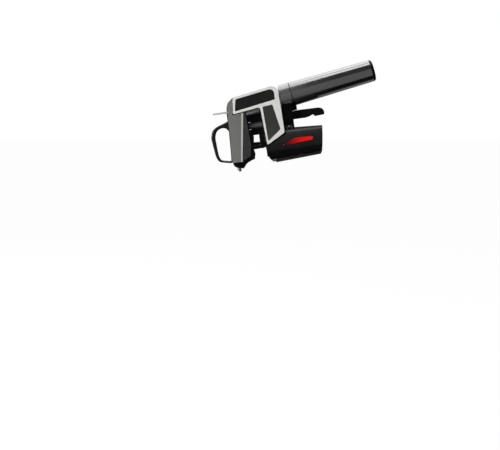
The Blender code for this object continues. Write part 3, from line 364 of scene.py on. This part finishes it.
# Finger ring: one piece of black nylon, rounded all over, with a strap that lies along the column's
# back. Each station across it is an outer and an inner point, as (X, Z) in millimetres.
ring_stations = (
    ((-50.0, 34.0), (-50.3, 21.4)), ((-55.6, 31.7), (-53.2, 25.1)), ((-60.9, 30.1), (-57.1, 26.3)),
    ((-65.9, 27.9), (-61.6, 25.3)), ((-69.6, 25.0), (-64.5, 23.2)), ((-71.7, 21.5), (-66.3, 20.0)),
    ((-72.7, 17.2), (-67.3, 16.5)), ((-72.4, 12.5), (-67.4, 12.5)), ((-71.8, 6.6), (-67.1, 6.8)),
    ((-71.0, 0.7), (-66.8, 0.9)), ((-70.4, -4.5), (-66.5, -4.0)), ((-69.2, -9.0), (-65.7, -7.7)),
    ((-67.2, -12.6), (-64.3, -11.0)), ((-64.2, -14.5), (-61.8, -12.5)), ((-59.2, -15.7), (-58.2, -13.3)),
    ((-52.1, -16.9), (-52.9, -14.2)), ((-50.1, -13.9), (-52.0, -11.8)), ((-49.4, -2.3), (-51.3, -2.1)),
    ((-48.8, 12.1), (-50.7, 12.4)), ((-46.2, 36.0), (-50.4, 18.9)))
ring_half = 4.8 * millimetre
station_steps = 7
section_steps = 28
squareness = 0.62


def through(points, position):
    """The point at this position on a smooth closed curve through the points."""
    count = len(points)
    i = math.floor(position) % count
    share = position - math.floor(position)
    before, here, after, beyond = (Vector(points[(i + j) % count]) for j in (-1, 0, 1, 2))
    leave = (after - before) / 2
    arrive = (beyond - here) / 2
    bend = share * (1 - share)
    return (here.lerp(after, share) + (leave - after + here) * bend * (1 - share)
            - (arrive - after + here) * bend * share)


outer_points = [outer for outer, _ in ring_stations]
inner_points = [inner for _, inner in ring_stations]
bm = bmesh.new()
stations = len(ring_stations)
bmesh.ops.create_grid(bm, x_segments=stations * station_steps, y_segments=section_steps, size=0.5)
for vert in bm.verts:
    position = (vert.co.x + 0.5) * stations
    angle = (vert.co.y + 0.5) * math.tau
    outer = through(outer_points, position) * millimetre
    inner = through(inner_points, position) * millimetre
    across = math.copysign(abs(math.cos(angle)) ** squareness, math.cos(angle))
    deep = math.copysign(abs(math.sin(angle)) ** squareness, math.sin(angle))
    spot = (outer + inner) / 2 + (outer - inner) / 2 * across
    vert.co = (spot.x, ring_half * deep, spot.y)
bmesh.ops.remove_doubles(bm, verts=bm.verts, dist=0.01 * millimetre)
bmesh.ops.recalc_face_normals(bm, faces=bm.faces)
polished_black = moulded("polished_black", black_nylon, black_bloom, 0.5 * millimetre, 0.28, 0.5)
ring = new_piece("finger_ring", bm, "body", polished_black, crease=60)
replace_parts(ring, "finger_loop")

# Needle, its hub and seal: a ground steel tube in a turned black hub, closed by a small bright nut.
hub_foot = Vector((-27.0, 0, 0)) * millimetre
hub_profile = ((4.3, 16.5), (4.3, 12.6), (3.9, 12.2), (3.9, 11.4), (4.3, 11.0), (4.3, 0), (1.05, 0),
               (1.05, 14.9), (2.2, 14.9), (2.2, 16.5))
hub = turned("hub", hub_profile, hub_foot, (1, 0, 0), "body", polished_black,
             0.2 * millimetre)
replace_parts(hub, "needle_hub")
nut_profile = ((1.9, 17.7), (2.1, 17.3), (2.1, 16.7), (1.05, 16.7), (1.05, 17.7))
turned("hub_nut", nut_profile, hub_foot, (1, 0, 0), "body", bright_steel, 0.08 * millimetre,
       steps=6)
dress(bright_steel, "needle")
rubber_black = (0.010, 0.010, 0.011)
rubber_grey = (0.018, 0.018, 0.019)
seal_rubber = moulded("seal_rubber", rubber_black, rubber_grey, 0.25 * millimetre, 0.72, 0.2)
dress(seal_rubber, "needle_seal", "valve_seal", "cup_seal", "capsule_seal")

# Gas line and valve: a blackened steel tube from the leg to the column, with a ferrule of the same
# finish at its left end, and a brass valve with a steel stem in the bar.
oxide_dark = (0.18, 0.18, 0.176)
oxide_worn = (0.26, 0.26, 0.254)
black_oxide, shader, place = new_finish("black_oxide", (0.22, 0.22, 0.215), 0.38, metallic=0.9)
wear = place.noise(0.3 * millimetre, 3, (0.2, 1, 1))
vary(shader, "Base Color", wear.step(0.2, 0.8).blend(oxide_dark, oxide_worn))
vary(shader, "Roughness", wear * 0.14 + 0.32)
tube_foot = Vector((-29.0, 0, 24.4)) * millimetre
tube_profile = ((4.2, 24.5), (4.2, 5.7), (3.9, 5.5), (3.9, 4.1), (4.2, 3.9), (4.2, 0), (2.6, 0), (2.6, 24.5))
tube = turned("gas_line", tube_profile, tube_foot, (1, 0, 0), "body", black_oxide,
              0.1 * millimetre)
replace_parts(tube, "gas_tube")
ferrule_profile = ((4.5, 5.4), (4.5, 4.2), (3.95, 4.2), (3.95, 5.4))
turned("gas_ferrule", ferrule_profile, tube_foot, (1, 0, 0), "body", black_oxide, 0.3 * millimetre)
brass_dull = (0.52, 0.37, 0.16)
brass_bright = (0.66, 0.49, 0.24)
turned_brass, shader, place = new_finish("turned_brass", (0.60, 0.44, 0.20), 0.28, metallic=1.0)
lathe = place.noise(0.2 * millimetre, 2, (1, 0.1, 0.1))
vary(shader, "Roughness", lathe * 0.18 + 0.2)
vary(shader, "Base Color", lathe.step(0.2, 0.8).blend(brass_dull, brass_bright))
dress(turned_brass, "valve_body", "regulator_piston")
dress(bright_steel, "valve_stem")

# Trigger: a grooved black lever on a steel pin, between the cheeks of a moulded bracket.
groove_pitch = 1.9 * millimetre
groove_depth = 0.22 * millimetre
groove_shade_black = (0.001, 0.001, 0.001)
crown_black = (0.007, 0.007, 0.007)
grooved_black, shader, place = new_finish("grooved_black", (0.006, 0.006, 0.006), 0.34, reflectance=0.12)
turns = place.along((1, 0, 0.75), (0, 0, 0)) * (math.tau / groove_pitch)
grooves = turns.maths("SINE", turns) * 0.5 + 0.5
# The grooves are painted darker than the crowns, as shade in them.
vary(shader, "Base Color", grooves.step(0.2, 0.8).blend(groove_shade_black, crown_black))
vary(shader, "Roughness", place.noise(0.4 * millimetre) * 0.14 + 0.28)
emboss(shader, grooves, groove_depth)
refined("trigger", "trigger_lever", "trigger", grooved_black, 0.3 * millimetre)
refined("trigger_bracket", "lever_bracket", "body", moulded_black, 0.3 * millimetre)
refined("trigger_pin", "lever_pin", "body", bright_steel, 0.25 * millimetre)

# Capsule line: a gunmetal collar on the leg and the long cup that screws on it, with a fine seam between
# them that is painted dark, as shade in its gap. Both are turned from aluminium and grow glossier to the
# right. A black plug closes the cup's end, and the steel gas capsule stands against its piercing pin inside.
line_tilt = math.radians(8.4)
line_start = Vector((16.2, 0, 53.4)) * millimetre
line_axis = (math.cos(line_tilt), 0, math.sin(line_tilt))
gunmetal_dark = (0.37, 0.375, 0.37)
gunmetal_pale = (0.43, 0.435, 0.43)
seam_shade_black = (0.03, 0.03, 0.03)
gunmetal, shader, place = new_finish("gunmetal", (0.40, 0.405, 0.40), 0.24, metallic=1.0)
polish = place.noise(0.2 * millimetre, 3)
haze = place.noise(18 * millimetre, 2)
reach = place.along(line_axis, line_start)
seam_start = 14.0 * millimetre
seam_end = 14.9 * millimetre
seam_soft = 0.15 * millimetre
# The seam is painted dark, as shade in the gap between collar and cup.
in_seam = reach.step(seam_start, seam_start + seam_soft) - reach.step(seam_end, seam_end + seam_soft)
polish_start = Vector((16, 0, 0)) * millimetre
polish_reach = 90 * millimetre
polished_end = place.along((1, 0, 0.15), polish_start).step(0, polish_reach)
metal = (polish * 0.4 + haze * 0.6).step(0.2, 0.8).blend(gunmetal_dark, gunmetal_pale)
vary(shader, "Base Color", in_seam.blend(metal, seam_shade_black))
vary(shader, "Roughness", polish * 0.06 + haze * 0.05 + 0.31 - polished_end * 0.20)
refined("regulator_collar", "collar", "body", gunmetal, 0.25 * millimetre)
cup_profile = ((0, 78.8), (11.6, 78.8), (11.6, 115.0), (12.8, 115.0), (13.1, 114.7), (14.37, 14.85),
               (14.0, 14.45), (12.3, 14.45), (12.3, 24.3), (9.8, 24.3), (9.8, 77.3), (0, 77.3))
cup = turned("cup_shell", cup_profile, line_start, line_axis, "cup", gunmetal,
             0.12 * millimetre, steps=128)
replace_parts(cup, "capsule_cup")
cap_profile = ((0, 118.1), (9.6, 118.1), (9.9, 117.7), (10.4, 117.7), (10.8, 118.1), (11.6, 118.1),
               (12.8, 116.8), (13.0, 115.4), (11.3, 115.3), (11.3, 108.3), (0, 108.3))
cap = turned("cup_cap", cap_profile, line_start, line_axis, "cup", moulded_black,
             0.15 * millimetre)
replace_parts(cap, "cup_end_cap")
dress(bright_steel, "piercing_pin", "gas_capsule")

# Springs: coils of hard-drawn wire. Those of the valve and the regulator get meshes of their own in
# place of their CAD nodes, and the clamp's two keep their CAD shape.
wire_dark = (0.42, 0.42, 0.42)
wire_bright = (0.56, 0.56, 0.56)
spring_wire, shader, place = new_finish("spring_wire", (0.50, 0.50, 0.50), 0.35, metallic=1.0)
scale_marks = place.noise(0.3 * millimetre, 2)
vary(shader, "Roughness", scale_marks * 0.2 + 0.25)
vary(shader, "Base Color", scale_marks.step(0.2, 0.8).blend(wire_dark, wire_bright))
dress(spring_wire, "clamp_spring_front", "clamp_spring_rear")


def squashed(node):
    """A spring coil with a mesh of its own, in place of its CAD node."""
    coil = new_piece(node + "_coil", merged(node), "body", spring_wire, crease=60)
    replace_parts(coil, node)
    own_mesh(coil)


squashed("valve_spring")
squashed("regulator_spring")


# Clamp: a moulded carriage with a rubber lip seat and a pale needle guide, on two steel rails whose left
# ends are rounded flat bar. Two ribs at its back and two webs under the leg close the views through it,
# and their places are in millimetres.
rail_end = -60 * millimetre


def on_rail_end(edge):
    """The upright edges of a rail's left end."""
    upright = abs((edge.verts[0].co - edge.verts[1].co).normalized().z) > 0.9
    return upright and edge_middle(edge).x < rail_end


matt_black = moulded("matt_black", black_nylon, black_bloom, nylon_grain, 0.5, 0.03)
refined("clamp_frame", "carriage", "clamp", matt_black, 0.35 * millimetre)
dress(seal_rubber, "neck_seat")
rib_low = Vector((-8.15, 2.6, -3.6))
rib_high = Vector((-7.55, 4.0, 16.0))
web_outline = ((-4.6, -0.75), (14.75, 9.75), (16.75, 13.2), (17.3, 14.0), (17.6, 14.0), (17.6, 6.8),
               (11.1, 3.6), (2.6, -0.8), (-4.6, -3.2))
web_near = 4.6
web_far = 5.8
for side, side_y in (("front", -1), ("rear", 1)):
    outwards = Vector((1, side_y, 1)) * millimetre
    bm = bmesh.new()
    bmesh.ops.create_cube(bm, size=millimetre)
    bmesh.ops.scale(bm, vec=rib_high - rib_low, verts=bm.verts)
    bmesh.ops.translate(bm, vec=(rib_low + rib_high) / 2 * outwards, verts=bm.verts)
    new_piece("stop_rib_" + side, round_edges(bm, 0.12 * millimetre), "clamp", matt_black)
    bm = bmesh.new()
    corners = [bm.verts.new(Vector((x, web_near, z)) * outwards) for x, z in web_outline]
    pushed = bmesh.ops.extrude_face_region(bm, geom=[bm.faces.new(corners)])["geom"]
    pushed_corners = [part for part in pushed if isinstance(part, bmesh.types.BMVert)]
    bmesh.ops.translate(bm, vec=Vector((0, web_far - web_near, 0)) * outwards, verts=pushed_corners)
    bmesh.ops.recalc_face_normals(bm, faces=bm.faces)
    new_piece("frame_web_" + side, round_edges(bm, 0.2 * millimetre), "clamp", matt_black)
pale_plastic = moulded("pale_plastic", (0.50, 0.50, 0.47), (0.60, 0.60, 0.57), 0.3 * millimetre, 0.42, 0.5)
dress(pale_plastic, "needle_guide")
rail_dull = (0.60, 0.60, 0.58)
rail_bright = (0.72, 0.72, 0.70)
satin_steel, shader, place = new_finish("satin_steel", (0.66, 0.66, 0.64), 0.30, metallic=0.6)
ground = place.noise(0.15 * millimetre, 2, (0.05, 1, 1))
vary(shader, "Base Color", ground.step(0.2, 0.8).blend(rail_dull, rail_bright))
vary(shader, "Roughness", ground * 0.14 + 0.22)
for side in ("front", "rear"):
    refined("guide_rail_" + side, "rail_" + side, "clamp", satin_steel, 0.3 * millimetre,
            first=on_rail_end, first_width=1.1 * millimetre)
dress(bright_steel, "hinge_pin_front", "hinge_pin_rear", "rail_pin_front_1", "rail_pin_front_2",
      "rail_pin_rear_1", "rail_pin_rear_2")

# Clamp arms: two satin black shells with a red insert and a rubber pad each, and a raised lip along the
# edge where they meet under the neck.
lip_left = Vector((2.0, 0, -19.0)) * millimetre
lip_right = Vector((57.0, 0, -16.4)) * millimetre
lip_slope = (lip_right - lip_left).normalized()
lip_line_width = 1.1 * millimetre
lip_line_drop = 0.5 * millimetre
lip_highlight_grey = (0.170, 0.170, 0.173)
arm_middle = Vector((0, 0, -3)) * millimetre
arm_rise = 15 * millimetre
arm_shade_black = (0.0012, 0.0012, 0.0013)
arm_light_black = (0.021, 0.0205, 0.021)
satin_black, shader, place = new_finish("satin_black", (0.005, 0.005, 0.0055), 0.22, reflectance=0.55)
peel = place.noise(1.2 * millimetre, 2)
smudge = place.noise(12 * millimetre, 3)
# The arm's black is painted paler towards its top and darker towards its bottom: painted light from above and
# shade below, with smudges.
lit_from_above = place.along((0, 0, 1), arm_middle).step(0, arm_rise)
black = (lit_from_above * 0.8 + smudge * 0.2).blend(arm_shade_black, arm_light_black)
# A painted highlight runs as a pale grey line along the lip, on the arm.
below_lip = place.along((lip_slope.z, 0, -lip_slope.x), lip_left) - lip_line_drop
lip_soft = 0.2 * millimetre
past_line = below_lip.step(lip_line_width, lip_line_width * 1.3)
on_lip_highlight = below_lip.step(-lip_soft, lip_soft) - past_line
vary(shader, "Base Color", on_lip_highlight.blend(black, lip_highlight_grey))
vary(shader, "Roughness", peel * 0.05 + smudge * 0.07 + 0.16)
emboss(shader, peel, 0.008 * millimetre)
insert_start = Vector((14, 0, 0)) * millimetre
insert_length = 30 * millimetre
shaded_red = (0.06, 0.0005, 0.0005)
lit_red = (0.62, 0.006, 0.006)
red_gloss, shader, place = new_finish("red_gloss", (0.42, 0.002, 0.002), 0.20, reflectance=0.25, coat=0.1,
                                      coat_roughness=0.06)
# The red is painted darker at its left end and brighter towards its right end, as painted light.
lit_end = place.along((1, 0, 0.2), insert_start).step(0, insert_length)
ripple = place.noise(2.5 * millimetre, 2)
vary(shader, "Base Color", (lit_end * 0.85 + ripple * 0.15).blend(shaded_red, lit_red))
vary(shader, "Roughness", ripple * 0.08 + 0.15)
lip_growth = 1.03
lip_drop = 1.4 * millimetre
lip_cuts = ((lip_left, (-lip_slope.z, 0, lip_slope.x)), (lip_left, (-1, 0, 0)), (lip_right, (1, 0, 0)))
arm_end = 56 * millimetre


def on_arm_end(edge):
    """The edges round an arm's right end."""
    return min(vert.co.x for vert in edge.verts) > arm_end


for side in ("front", "rear"):
    arm_body = "arm_" + side
    dress(seal_rubber, "grip_pad_" + side)
    refined("clamp_arm_" + side, "shell_of_arm_" + side, arm_body, satin_black,
            0.3 * millimetre, first=on_arm_end, first_width=0.7 * millimetre)
    refined("arm_accent_" + side, "insert_" + side, arm_body, red_gloss, 0.08 * millimetre)
    bm = merged("clamp_arm_" + side)
    for spot, away in lip_cuts:
        everything = list(bm.verts) + list(bm.edges) + list(bm.faces)
        bmesh.ops.bisect_plane(bm, geom=everything, dist=0.001 * millimetre, plane_co=spot, plane_no=away,
                               clear_outer=True)
        open_edges = [edge for edge in bm.edges if edge.is_boundary]
        bmesh.ops.triangle_fill(bm, edges=open_edges, use_beauty=True)
    bmesh.ops.scale(bm, vec=(1, lip_growth, 1), verts=bm.verts)
    bmesh.ops.translate(bm, vec=(0, 0, -lip_drop), verts=bm.verts)
    bmesh.ops.recalc_face_normals(bm, faces=bm.faces)
    new_piece("arm_lip_" + side, round_edges(bm, 0.2 * millimetre, 2), arm_body,
              moulded_black)

# Studio: a white floor far under the part, a white surround, soft lamps, and cards that only polished
# surfaces see, which give the plastics their black and the cup its bands.
roll = math.radians(7.884)
pitch = math.radians(5)
camera_distance = 1.37
aim = Vector((-0.04044, 0, -0.09506))
photo_right = Vector((math.cos(roll), 0, -math.sin(roll)))
photo_up = Vector((math.sin(roll), 0, math.cos(roll)))
forward = Vector((0, 1, 0))
looking = forward * math.cos(pitch) - photo_up * math.sin(pitch)
camera_up = photo_up * math.cos(pitch) + forward * math.sin(pitch)
camera = bpy.data.objects.new("camera", bpy.data.cameras.new("camera"))
camera.data.lens = 80.6
camera.data.sensor_width = 36
camera.location = aim - looking * camera_distance
camera.rotation_mode = "QUATERNION"
camera.rotation_quaternion = Matrix((photo_right, camera_up, -looking)).transposed().to_quaternion()
bpy.context.scene.collection.objects.link(camera)
bpy.context.scene.camera = camera


def seen_or_lit(tree, seen, lit):
    """One strength where the camera, metal or glass sees a surface, and another where it lights the rest."""
    path = tree.nodes.new("ShaderNodeLightPath")
    by_camera, by_metal, by_glass = (Field(tree, path.outputs[f"Is {kind} Ray"])
                                     for kind in ("Camera", "Glossy", "Transmission"))
    sees = by_camera.maths("MAXIMUM", by_camera, by_metal)
    sees = sees.maths("MAXIMUM", sees, by_glass)
    return sees * (seen - lit) + lit


world = bpy.data.worlds.new("surround")
world.use_nodes = True
bpy.context.scene.world = world
bpy.context.scene.view_settings.view_transform = "Standard"
background = world.node_tree.nodes["Background"]
background.inputs["Color"].default_value = (1, 1, 1, 1)
surround_seen = 1.0
surround_light = 0.23
vary(background, "Strength", seen_or_lit(world.node_tree, surround_seen, surround_light))


def flat_sheet(name, width, height, material):
    """A flat sheet of the studio, lying level at the origin."""
    bm = bmesh.new()
    bmesh.ops.create_grid(bm, x_segments=1, y_segments=1, size=0.5)
    bmesh.ops.scale(bm, vec=(width, height, 1), verts=bm.verts)
    mesh = bpy.data.meshes.new(name)
    bm.to_mesh(mesh)
    bm.free()
    mesh.materials.append(material)
    made = bpy.data.objects.new(name, mesh)
    bpy.context.scene.collection.objects.link(made)
    return made


white_floor = bpy.data.materials.new("white_floor")
white_floor.use_nodes = True
tree = white_floor.node_tree
shader = tree.nodes["Principled BSDF"]
shader.inputs["Base Color"].default_value = (0.8, 0.8, 0.8, 1)
shader.inputs["Roughness"].default_value = 0.9
glow = tree.nodes.new("ShaderNodeEmission")
mix = tree.nodes.new("ShaderNodeMixShader")
tree.links.new(shader.outputs[0], mix.inputs[1])
tree.links.new(glow.outputs[0], mix.inputs[2])
tree.links.new(mix.outputs[0], tree.nodes["Material Output"].inputs["Surface"])
floor_glow = 0.975
vary(mix, "Fac", seen_or_lit(tree, floor_glow, 0.0))
floor_drop = 0.30
floor_size = 60
floor = flat_sheet("floor", floor_size, floor_size, white_floor)
floor.location = photo_up * -floor_drop
floor.rotation_euler = (0, roll, 0)


def soft_lamp(name, width, height, watts, spot):
    """An area lamp that points at the part and isn't seen itself."""
    lamp = bpy.data.lights.new(name, "AREA")
    lamp.shape = "RECTANGLE"
    lamp.size = width
    lamp.size_y = height
    lamp.energy = watts
    made = bpy.data.objects.new(name, lamp)
    made.location = spot
    made.rotation_euler = (-Vector(spot)).to_track_quat("-Z", "Y").to_euler()
    bpy.context.scene.collection.objects.link(made)
    made.visible_camera = False


def card(name, brightness, width, height, spot, turn=None):
    """A card that only polished surfaces see, facing the part unless it is turned."""
    material = bpy.data.materials.new(name)
    material.use_nodes = True
    tree = material.node_tree
    glow = tree.nodes.new("ShaderNodeEmission")
    glow.inputs["Strength"].default_value = brightness
    tree.links.new(glow.outputs[0], tree.nodes["Material Output"].inputs["Surface"])
    made = flat_sheet(name, width, height, material)
    made.location = spot
    made.rotation_euler = turn or (-Vector(spot)).to_track_quat("Z", "Y").to_euler()
    made.visible_camera = made.visible_diffuse = made.visible_transmission = made.visible_shadow = False


def ringed(distance, height_angle, side_y):
    """A place round the cup's line: this many degrees up from the horizon in front, or behind."""
    angle = math.radians(height_angle)
    return Vector((0, side_y * distance * math.cos(angle), distance * math.sin(angle)))


for name, side_y in (("front", -1), ("rear", 1)):
    card("level_card_" + name, 0.18, 2.4, 1.15, ringed(1.0, -6, side_y))
    card("high_card_" + name, 0.05, 3.0, 0.93, ringed(1.0, 49, side_y))
above_floor = 0.02
low_cards = (("low_card_front", 0.18, 0.74, -0.68), ("under_card", 0.008, 0.41, -0.105),
             ("low_card_rear", 0.25, 0.95, 0.575))
for name, brightness, depth, spot_y in low_cards:
    spot = photo_up * (above_floor - floor_drop) + forward * spot_y
    card(name, brightness, 2.6, depth, spot, turn=(0, roll, 0))
card("gap_card", 0.6, 1.8, 0.5, ringed(1.0, 99.5, -1))
card("right_card", 0.02, 1.6, 1.4, (1.0, 0, 0.05))
soft_lamp("top_lamp", 1.6, 0.30, 1.4, ringed(0.8, 84.5, -1))
soft_lamp("back_lamp", 1.6, 0.68, 5.6, ringed(0.8, 127, -1))
soft_lamp("key_lamp", 0.9, 0.7, 34, (-1.25, -0.85, 0.55))
soft_lamp("rear_lamp", 0.9, 0.7, 34, (-1.25, 0.85, 0.55))
